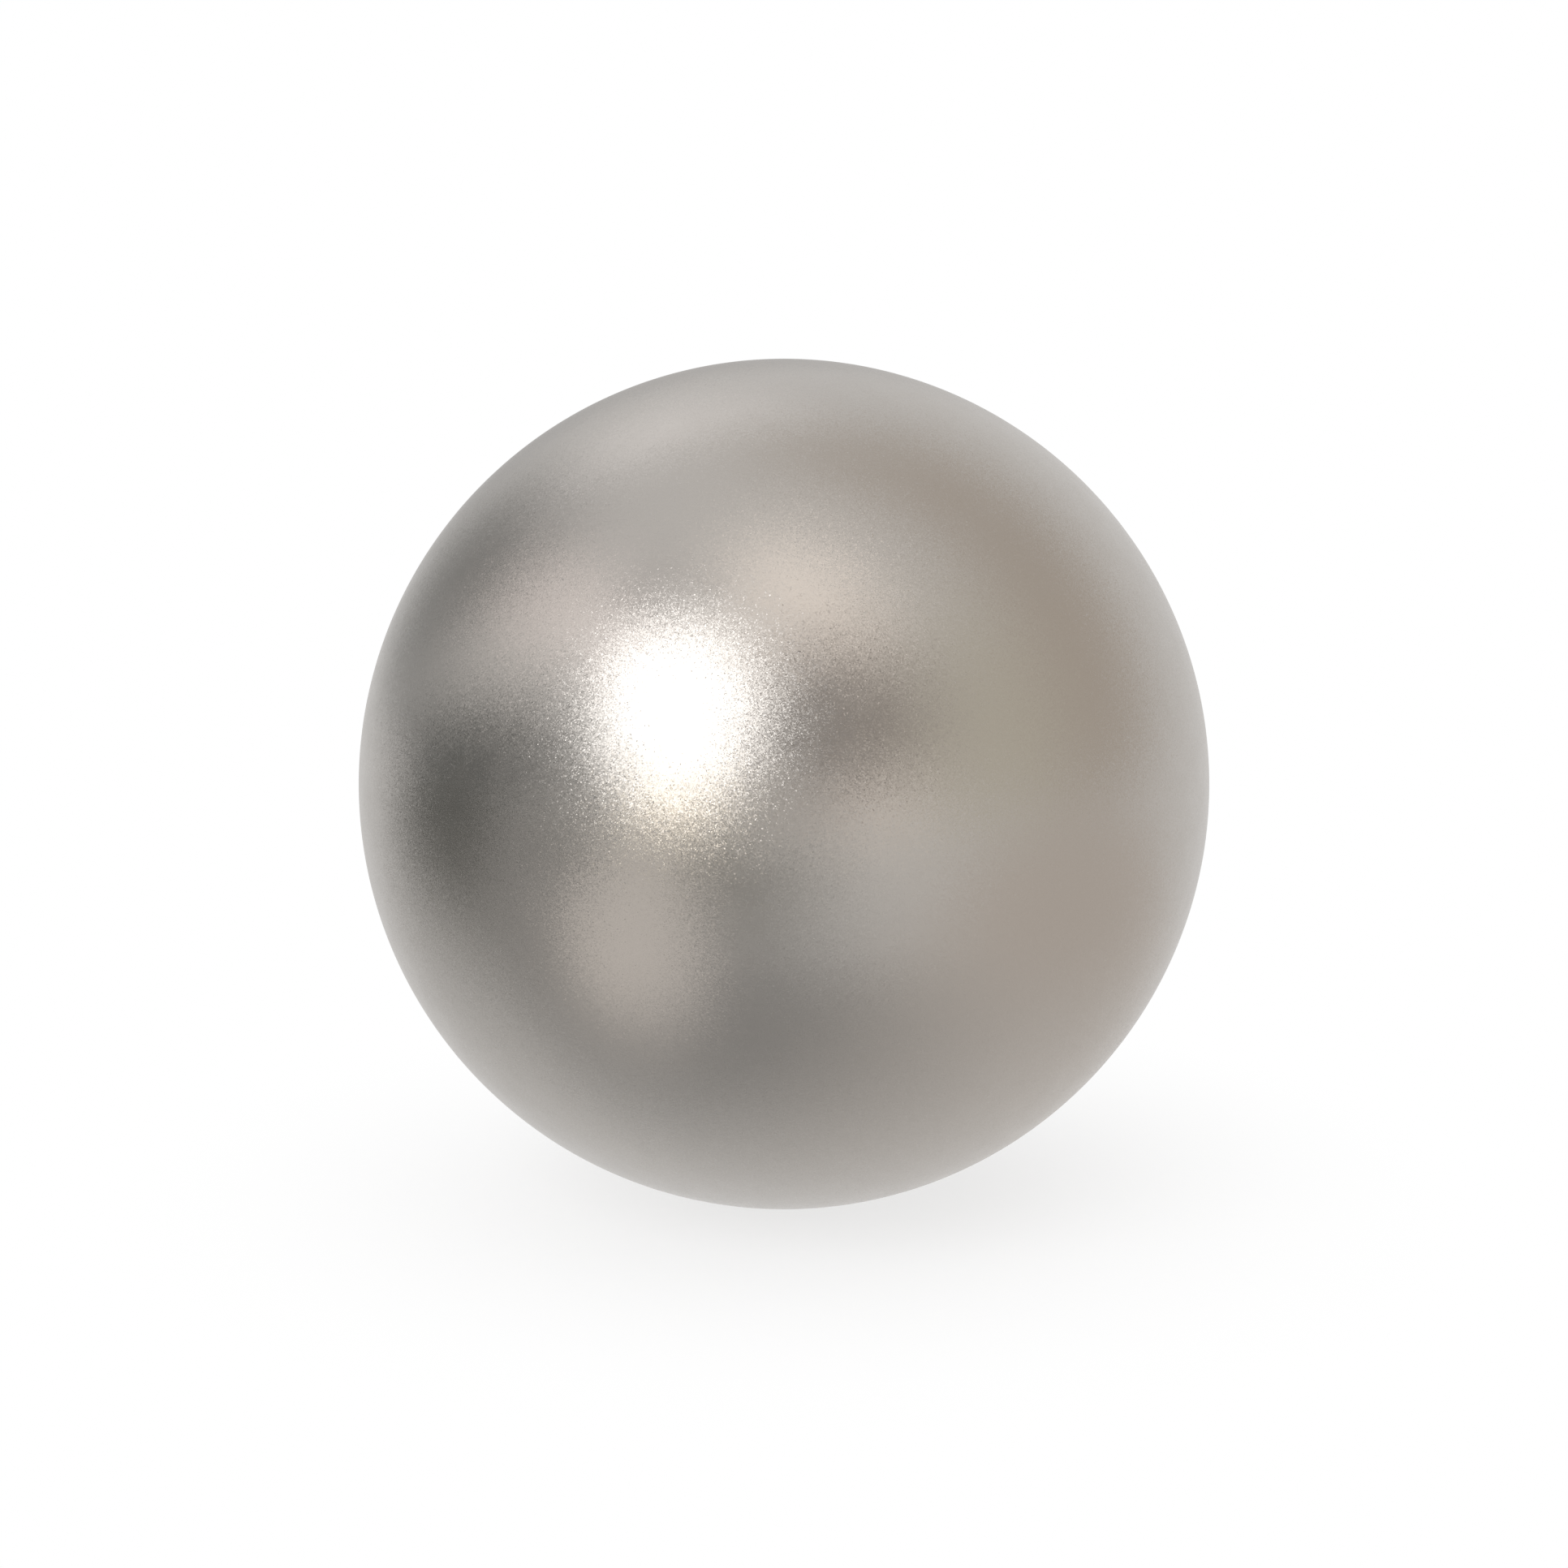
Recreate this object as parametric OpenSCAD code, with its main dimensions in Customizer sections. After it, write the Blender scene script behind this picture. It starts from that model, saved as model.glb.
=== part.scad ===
// Steel ball
//
// One solid ball of hardened chrome steel, as it leaves the lapping plates:
// the same diameter every way, with no flat, hole, seam or pole.
// The origin is the centre of the ball, and +Z is up.

/* [Ball] */
// Diameter of the ball
ball_d = 25.4; // [3:0.1:100]

/* [Hidden] */
// Facets round the preview; the ball itself is a true sphere
$fn = 180;

// The whole object: a solid sphere about the origin
module ball() {
    color([0.63, 0.61, 0.58]) sphere(d = ball_d);
}

ball();
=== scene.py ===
"""A solid steel ball with a fine satin finish, resting on a plain white table."""

import math

import bpy
import numpy as np
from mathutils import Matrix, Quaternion, Vector


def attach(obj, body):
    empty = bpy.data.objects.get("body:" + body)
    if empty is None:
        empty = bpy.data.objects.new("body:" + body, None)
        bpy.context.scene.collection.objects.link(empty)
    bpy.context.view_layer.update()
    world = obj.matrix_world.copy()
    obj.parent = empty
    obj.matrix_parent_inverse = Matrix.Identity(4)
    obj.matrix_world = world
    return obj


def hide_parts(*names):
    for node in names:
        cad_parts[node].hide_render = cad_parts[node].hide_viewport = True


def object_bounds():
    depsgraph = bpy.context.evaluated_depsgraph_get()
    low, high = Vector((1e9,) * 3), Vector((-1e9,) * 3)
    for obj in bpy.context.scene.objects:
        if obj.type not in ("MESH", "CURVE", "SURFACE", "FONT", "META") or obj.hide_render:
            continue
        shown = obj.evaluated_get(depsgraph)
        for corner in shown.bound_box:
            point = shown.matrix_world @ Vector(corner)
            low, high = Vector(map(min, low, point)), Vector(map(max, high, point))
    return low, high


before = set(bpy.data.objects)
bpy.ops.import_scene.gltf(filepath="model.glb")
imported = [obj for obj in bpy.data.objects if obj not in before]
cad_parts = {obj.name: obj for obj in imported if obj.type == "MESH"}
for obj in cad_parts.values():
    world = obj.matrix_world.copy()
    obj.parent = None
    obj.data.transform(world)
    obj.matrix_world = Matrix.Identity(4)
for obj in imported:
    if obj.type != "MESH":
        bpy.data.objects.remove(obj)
cad_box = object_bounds()
box_low, box_high = cad_box


# ---- The ball ----
# One solid ball of hardened steel: headed from wire, ground, and lapped round between two
# grooved plates. A last tumble in fine grit leaves it satin, with an even grain all over.

ball_radius = min(box_high - box_low) / 2
cells_per_side = 96
gap_in_map = 0.01
same_point_within = 1e-7

darker_grey = (0.420, 0.396, 0.370, 1)
paler_grey = (0.436, 0.408, 0.378, 1)
grey_drifts_per_metre = 90

sharper_satin = 0.305
softer_satin = 0.335
satin_patches_per_metre = 1100

grains_per_metre = 34000
least_tilt = 0.04
extra_tilt = 0.31


def add_object(name, data):
    """Puts a mesh, a camera or a lamp into the scene as an object, at the origin."""
    thing = bpy.data.objects.new(name, data)
    bpy.context.scene.collection.objects.link(thing)
    return thing


def lapped_ball(name, radius, cells):
    """A closed ball of quads: the six sides of a cube, each pushed out to the radius.

    Every side has an outward axis w and two axes u and v, with u x v = w. The point at the
    angles a and b, which run evenly from -45 to 45 degrees, lies along
    w + tan(a) u + tan(b) v, at the radius from the centre. The sides share the points along
    the cube's edges and corners, so the ball has no seam and no pole.

    The map is for pictures of the finish baked later. It lays the six sides out in two rows
    of three, with a gap round each, and a and b run evenly across and up them.
    """
    side_axes = np.array(
        [
            [[0, 1, 0], [0, 0, 1], [1, 0, 0]],
            [[0, 0, 1], [0, 1, 0], [-1, 0, 0]],
            [[0, 0, 1], [1, 0, 0], [0, 1, 0]],
            [[1, 0, 0], [0, 0, 1], [0, -1, 0]],
            [[1, 0, 0], [0, 1, 0], [0, 0, 1]],
            [[0, 1, 0], [1, 0, 0], [0, 0, -1]],
        ]
    )
    tangents = np.tan(np.linspace(-math.pi / 4, math.pi / 4, cells + 1))
    across, along = np.meshgrid(tangents, tangents, indexing="ij")
    slopes = np.stack([across, along, np.ones_like(across)], axis=-1)
    points = np.einsum("ijk,skx->sijx", slopes, side_axes)
    points /= np.linalg.norm(points, axis=-1, keepdims=True)

    numbers = np.arange(points[..., 0].size).reshape(points.shape[:3])
    quads = np.stack(
        [
            numbers[:, :-1, :-1],
            numbers[:, 1:, :-1],
            numbers[:, 1:, 1:],
            numbers[:, :-1, 1:],
        ],
        axis=-1,
    ).reshape(-1, 4)

    map_shares = np.linspace(gap_in_map, 1 - gap_in_map, cells + 1)
    map_row, map_column = np.divmod(np.arange(6), 3)
    map_across = (map_column[:, None, None] + map_shares[None, :, None]) / 3
    map_up = (map_row[:, None, None] + map_shares[None, None, :]) / 2
    map_points = np.stack(np.broadcast_arrays(map_across, map_up), axis=-1).reshape(-1, 2)

    points = points.reshape(-1, 3)
    places = np.round(points / same_point_within).astype(np.int64)
    first, shared = np.unique(places, axis=0, return_index=True, return_inverse=True)[1:]
    faces = shared.reshape(-1)[quads]

    mesh = bpy.data.meshes.new(name)
    mesh.from_pydata(points[first] * radius, [], faces)
    mesh.polygons.foreach_set("use_smooth", np.ones(len(faces), dtype=bool))
    mesh.uv_layers.new(name="OFBake").data.foreach_set("uv", map_points[quads].ravel())
    mesh.update()
    return add_object(name, mesh)


def satin_steel():
    """Warm grey steel with a fine tumbled grain.

    The grain is cells of 0.03 mm, each of which tilts the surface its own way: most of them
    a little, and a few of them far more, so that they glint. Patches of 0.9 mm make the satin
    a little sharper or softer from place to place, and the grey drifts between two near tones
    over about a centimetre.
    """
    material = bpy.data.materials.new("satin_steel")
    material.use_nodes = True
    nodes = material.node_tree.nodes
    links = material.node_tree.links
    shader = nodes["Principled BSDF"]
    shader.inputs["Metallic"].default_value = 1.0
    place = nodes.new("ShaderNodeTexCoord")

    drift = nodes.new("ShaderNodeTexNoise")
    drift.inputs["Scale"].default_value = grey_drifts_per_metre
    drift.inputs["Detail"].default_value = 1
    links.new(place.outputs["Object"], drift.inputs["Vector"])
    grey = nodes.new("ShaderNodeValToRGB")
    grey.color_ramp.elements[0].position = 0.3
    grey.color_ramp.elements[0].color = darker_grey
    grey.color_ramp.elements[1].position = 0.7
    grey.color_ramp.elements[1].color = paler_grey
    links.new(drift.outputs["Fac"], grey.inputs["Fac"])
    links.new(grey.outputs["Color"], shader.inputs["Base Color"])

    patches = nodes.new("ShaderNodeTexNoise")
    patches.inputs["Scale"].default_value = satin_patches_per_metre
    patches.inputs["Detail"].default_value = 3
    links.new(place.outputs["Object"], patches.inputs["Vector"])
    satin = nodes.new("ShaderNodeMapRange")
    satin.inputs["From Min"].default_value = 0.3
    satin.inputs["From Max"].default_value = 0.7
    satin.inputs["To Min"].default_value = sharper_satin
    satin.inputs["To Max"].default_value = softer_satin
    links.new(patches.outputs["Fac"], satin.inputs["Value"])
    links.new(satin.outputs["Result"], shader.inputs["Roughness"])

    # A cell's random colour, less a half each way, is a way to lean. The tilt along it grows
    # with its squared length.
    grains = nodes.new("ShaderNodeTexVoronoi")
    grains.inputs["Scale"].default_value = grains_per_metre
    links.new(place.outputs["Object"], grains.inputs["Vector"])
    lean = nodes.new("ShaderNodeVectorMath")
    lean.operation = "SUBTRACT"
    lean.inputs[1].default_value = (0.5, 0.5, 0.5)
    links.new(grains.outputs["Color"], lean.inputs[0])
    squared_length = nodes.new("ShaderNodeVectorMath")
    squared_length.operation = "DOT_PRODUCT"
    links.new(lean.outputs["Vector"], squared_length.inputs[0])
    links.new(lean.outputs["Vector"], squared_length.inputs[1])
    tilt = nodes.new("ShaderNodeMath")
    tilt.operation = "MULTIPLY_ADD"
    tilt.inputs[1].default_value = extra_tilt
    tilt.inputs[2].default_value = least_tilt
    links.new(squared_length.outputs["Value"], tilt.inputs[0])
    surface = nodes.new("ShaderNodeNewGeometry")
    tilted = nodes.new("ShaderNodeVectorMath")
    tilted.operation = "MULTIPLY_ADD"
    links.new(lean.outputs["Vector"], tilted.inputs[0])
    links.new(tilt.outputs["Value"], tilted.inputs[1])
    links.new(surface.outputs["Normal"], tilted.inputs[2])
    normal = nodes.new("ShaderNodeVectorMath")
    normal.operation = "NORMALIZE"
    links.new(tilted.outputs["Vector"], normal.inputs[0])
    links.new(normal.outputs["Vector"], shader.inputs["Normal"])
    return material


ball = lapped_ball("steel_ball", ball_radius, cells_per_side)
ball.data.materials.append(satin_steel())
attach(ball, "root")
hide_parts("ball")


# ---- The camera ----
# It has a long lens, which draws the ball round and true. It looks a little down on the ball,
# which sits in the middle of a square frame.

camera_elevation = math.radians(12)
ball_share_of_frame = 0.5425

camera_data = bpy.data.cameras.new("camera")
camera_data.lens = 85
camera_data.sensor_width = 36
camera_data.clip_start = 0.001
camera_data.clip_end = 10
half_view_slope = camera_data.sensor_width / 2 / camera_data.lens
camera_distance = ball_radius / math.sin(math.atan(ball_share_of_frame * half_view_slope))
towards_camera = Vector((0, -math.cos(camera_elevation), math.sin(camera_elevation)))
camera = add_object("camera", camera_data)
camera.location = towards_camera * camera_distance
camera.rotation_euler = towards_camera.to_track_quat("Z", "Y").to_euler()
bpy.context.scene.camera = camera


# ---- The white room ----
# Plain white where it is seen, straight or in metal and glass, and a soft fill light on
# everything else.

white_where_seen = 1.0
fill_light = 0.9


def highest(tree, *values):
    """Adds nodes to a tree that give the highest of some of its values."""
    top = values[0]
    for value in values[1:]:
        higher = tree.nodes.new("ShaderNodeMath")
        higher.operation = "MAXIMUM"
        tree.links.new(top, higher.inputs[0])
        tree.links.new(value, higher.inputs[1])
        top = higher.outputs["Value"]
    return top


def white_room():
    """A world of one white, a little brighter where it is seen than as a light."""
    world = bpy.data.worlds.new("white_room")
    world.use_nodes = True
    nodes = world.node_tree.nodes
    links = world.node_tree.links
    rays = nodes.new("ShaderNodeLightPath")
    seen = highest(
        world.node_tree,
        rays.outputs["Is Camera Ray"],
        rays.outputs["Is Glossy Ray"],
        rays.outputs["Is Transmission Ray"],
    )
    strength = nodes.new("ShaderNodeMapRange")
    strength.inputs["To Min"].default_value = fill_light
    strength.inputs["To Max"].default_value = white_where_seen
    links.new(seen, strength.inputs["Value"])
    nodes["Background"].inputs["Color"].default_value = (1, 1, 1, 1)
    links.new(strength.outputs["Result"], nodes["Background"].inputs["Strength"])
    return world


bpy.context.scene.world = white_room()


# ---- The table ----
# A white top of milky plastic, lit a little from beneath, so that the ball's shadow stays
# light. Away from the ball it runs out into the white of the room, with no edge or horizon.

table_radius = 1.5
points_round_table = 96
table_white = (0.88, 0.88, 0.88, 1)
glow_in_shadow = 0.70
shadow_full_out_to = 0.005
shadow_gone_at = 0.022


def milky_plastic():
    """White plastic that glows where it is seen, and mirrored, and otherwise takes the light.

    Seen straight, the glow is seven tenths of the look beside the ball, where the shadow is,
    and the whole of it from 22 mm off. Seen in metal or glass it is all glow.
    """
    material = bpy.data.materials.new("milky_plastic")
    material.use_nodes = True
    nodes = material.node_tree.nodes
    links = material.node_tree.links
    nodes.remove(nodes["Principled BSDF"])
    surface = nodes.new("ShaderNodeBsdfDiffuse")
    surface.inputs["Color"].default_value = table_white
    glow = nodes.new("ShaderNodeEmission")
    glow.inputs["Strength"].default_value = white_where_seen

    place = nodes.new("ShaderNodeTexCoord")
    length = nodes.new("ShaderNodeVectorMath")
    length.operation = "LENGTH"
    links.new(place.outputs["Object"], length.inputs[0])
    away = nodes.new("ShaderNodeMapRange")
    away.interpolation_type = "SMOOTHSTEP"
    away.inputs["From Min"].default_value = shadow_full_out_to
    away.inputs["From Max"].default_value = shadow_gone_at
    away.inputs["To Min"].default_value = glow_in_shadow
    links.new(length.outputs["Value"], away.inputs["Value"])

    rays = nodes.new("ShaderNodeLightPath")
    straight = nodes.new("ShaderNodeMath")
    straight.operation = "MULTIPLY"
    links.new(rays.outputs["Is Camera Ray"], straight.inputs[0])
    links.new(away.outputs["Result"], straight.inputs[1])
    seen = highest(
        material.node_tree,
        straight.outputs["Value"],
        rays.outputs["Is Glossy Ray"],
        rays.outputs["Is Transmission Ray"],
    )
    mix = nodes.new("ShaderNodeMixShader")
    links.new(seen, mix.inputs["Fac"])
    links.new(surface.outputs["BSDF"], mix.inputs[1])
    links.new(glow.outputs["Emission"], mix.inputs[2])
    links.new(mix.outputs["Shader"], nodes["Material Output"].inputs["Surface"])
    return material


turns = np.linspace(0, 2 * math.pi, points_round_table, endpoint=False)
rim = np.stack([np.cos(turns), np.sin(turns), 0 * turns], axis=-1) * table_radius
table_mesh = bpy.data.meshes.new("table")
table_mesh.from_pydata(rim, [], [range(len(rim))])
table_mesh.materials.append(milky_plastic())
table = add_object("table", table_mesh)
table.location.z = box_low.z


# ---- Lamps ----
# Two oval soft boxes, at the left of the camera. The key box is large and bright, and makes
# the ball's main highlight. The one below it is small and warm, and tints its lower edge.


def stand(thing, right, above, distance, turn):
    """Stands a flat thing round the ball, facing it, and turns it in its own plane.

    Its place is so many degrees to the camera's right and so many above the ball's level.
    """
    right = math.radians(right)
    above = math.radians(above)
    level = math.cos(above)
    way = Vector((math.sin(right) * level, -math.cos(right) * level, math.sin(above)))
    facing = way.to_track_quat("Z", "Y") @ Quaternion((0, 0, 1), math.radians(turn))
    thing.location = way * distance
    thing.rotation_euler = facing.to_euler()


def soft_box(name, width, height, brightness, tint):
    """An oval lamp of that size in metres. A brightness of 1 is as bright as white paper."""
    lamp = bpy.data.lights.new(name, "AREA")
    lamp.shape = "ELLIPSE"
    lamp.size = width
    lamp.size_y = height
    lamp.energy = brightness * math.pi * (math.pi / 4 * width * height)
    lamp.color = tint
    return add_object(name, lamp)


key = soft_box("key_box", 0.229, 0.260, 3.8, (0.985, 1, 1.015))
stand(key, right=-30.6, above=28.2, distance=0.30, turn=22)

foot = soft_box("warm_foot", 0.122, 0.046, 1.4, (1.26, 1, 0.52))
stand(foot, right=-27, above=6.3, distance=0.29, turn=8)


# ---- Cards ----
# Oval glowing cards with soft edges, out of the picture: some pale and brighter than white,
# some grey, some nearly black. They are painted reflections: only metal mirrors them, as bright
# and dark patches on the ball, and they throw no light or shadow on the table. A card nearer
# the ball covers those behind it.


def lay(thing, right, nearer, turn, over):
    """Lays a flat thing so far over the table, to the right of the ball and to its front."""
    thing.location = (right, -nearer, box_low.z + over)
    thing.rotation_euler.z = math.radians(turn)


def soft_edge_group():
    """A node group that gives 1 in the middle of a card two units wide, and 0 at its edge."""
    group = bpy.data.node_groups.new("soft_edge", "ShaderNodeTree")
    group.interface.new_socket("Full Out To", in_out="INPUT", socket_type="NodeSocketFloat")
    group.interface.new_socket("Cover", in_out="OUTPUT", socket_type="NodeSocketFloat")
    nodes = group.nodes
    links = group.links
    start = nodes.new("NodeGroupInput")
    place = nodes.new("ShaderNodeTexCoord")
    length = nodes.new("ShaderNodeVectorMath")
    length.operation = "LENGTH"
    links.new(place.outputs["Object"], length.inputs[0])
    cover = nodes.new("ShaderNodeMapRange")
    cover.interpolation_type = "SMOOTHSTEP"
    cover.inputs["From Min"].default_value = 1.0
    links.new(start.outputs["Full Out To"], cover.inputs["From Max"])
    links.new(length.outputs["Value"], cover.inputs["Value"])
    out = nodes.new("NodeGroupOutput")
    links.new(cover.outputs["Result"], out.inputs["Cover"])
    return group


soft_edge = soft_edge_group()


def glowing_reflection_sheet(name, full_out_to, colour):
    """A sheet that glows at one even brightness, clear at its soft edge: a painted reflection,
    seen only in metal.
    """
    material = bpy.data.materials.new(name)
    material.use_nodes = True
    material.cycles.emission_sampling = "NONE"
    nodes = material.node_tree.nodes
    links = material.node_tree.links
    nodes.remove(nodes["Principled BSDF"])
    edge = nodes.new("ShaderNodeGroup")
    edge.node_tree = soft_edge
    edge.inputs["Full Out To"].default_value = full_out_to
    clear = nodes.new("ShaderNodeBsdfTransparent")
    face = nodes.new("ShaderNodeEmission")
    face.inputs["Color"].default_value = (*colour, 1)
    face.inputs["Strength"].default_value = 1.0
    mix = nodes.new("ShaderNodeMixShader")
    links.new(edge.outputs["Cover"], mix.inputs["Fac"])
    links.new(clear.outputs["BSDF"], mix.inputs[1])
    links.new(face.outputs["Emission"], mix.inputs[2])
    links.new(mix.outputs["Shader"], nodes["Material Output"].inputs["Surface"])
    return material


def card(name, width, height, full_out_to, colour):
    """An oval glowing card of that size in metres, a painted reflection seen only in metal. It
    is full out to a share of the way to its edge.
    """
    mesh = bpy.data.meshes.new(name)
    mesh.from_pydata([(-1, -1, 0), (1, -1, 0), (1, 1, 0), (-1, 1, 0)], [], [(0, 1, 2, 3)])
    mesh.materials.append(glowing_reflection_sheet(name, full_out_to, colour))
    paper = add_object(name, mesh)
    paper.scale = (width / 2, height / 2, 1)
    paper.visible_camera = False
    paper.visible_diffuse = False
    paper.visible_transmission = False
    paper.visible_volume_scatter = False
    paper.visible_shadow = False
    return paper


# These stand round the ball, the furthest first. They paint a room's bright and dark patches
# into the ball's reflections.

back_low = card("back_low", 1.25, 0.96, 0.30, (0.60, 0.60, 0.60))
stand(back_low, right=187, above=9, distance=1.40, turn=0)

top_pale = card("top_pale", 1.62, 4.73, 0.07, (2.53, 2.35, 2.20))
stand(top_pale, right=17.5, above=29.8, distance=1.30, turn=14)

left_pale = card("left_pale", 2.90, 0.45, 0.70, (1.53, 1.44, 1.43))
stand(left_pale, right=-94, above=38, distance=1.20, turn=20)

back_pale = card("back_pale", 1.93, 0.58, 0.22, (1.51, 1.50, 1.52))
stand(back_pale, right=-143, above=43.5, distance=1.10, turn=-33)

right_wall = card("right_wall", 1.31, 2.17, 0.14, (0.87, 0.84, 0.73))
stand(right_wall, right=62.5, above=9.8, distance=0.80, turn=-12)

surround = card("surround", 3.09, 1.01, 0.06, (0.03, 0.02, 0.02))
stand(surround, right=-12, above=25.5, distance=0.60, turn=10)

above_key = card("above_key", 0.47, 0.17, 0.52, (0.07, 0.05, 0.04))
stand(above_key, right=-39.5, above=53.8, distance=0.50, turn=0)

left_black = card("left_black", 2.49, 0.275, 0.09, (0.04, 0.05, 0.05))
stand(left_black, right=-101.5, above=0.6, distance=0.45, turn=21)

back_grey = card("back_grey", 0.77, 0.433, 0.04, (0.26, 0.27, 0.27))
stand(back_grey, right=-128, above=23, distance=0.42, turn=54)

right_warm = card("right_warm", 0.52, 3.55, 0.04, (0.71, 0.64, 0.57))
stand(right_warm, right=101, above=26, distance=0.40, turn=-21)

# These lie just over the table, the lowest first. They paint pale and dark patches into the
# table's reflection in the ball, which the table itself doesn't show.

left_dark = card("left_dark", 0.476, 0.303, 0.77, (0.135, 0.14, 0.13))
lay(left_dark, right=-0.199, nearer=0.058, turn=-13, over=0.0002)

front_dark = card("front_dark", 0.233, 0.041, 0.68, (0.44, 0.44, 0.44))
lay(front_dark, right=-0.083, nearer=0.0335, turn=10, over=0.0004)

left_white = card("left_white", 0.031, 0.124, 0.82, (1.08, 1.04, 1.01))
lay(left_white, right=-0.043, nearer=0.0595, turn=-38, over=0.0006)

right_pale = card("right_pale", 0.086, 0.210, 0.70, (0.86, 0.80, 0.75))
lay(right_pale, right=0.098, nearer=0.028, turn=-103, over=0.0008)


# ---- The picture ----
# Colours are shown as they are written.

bpy.context.scene.view_settings.view_transform = "Standard"
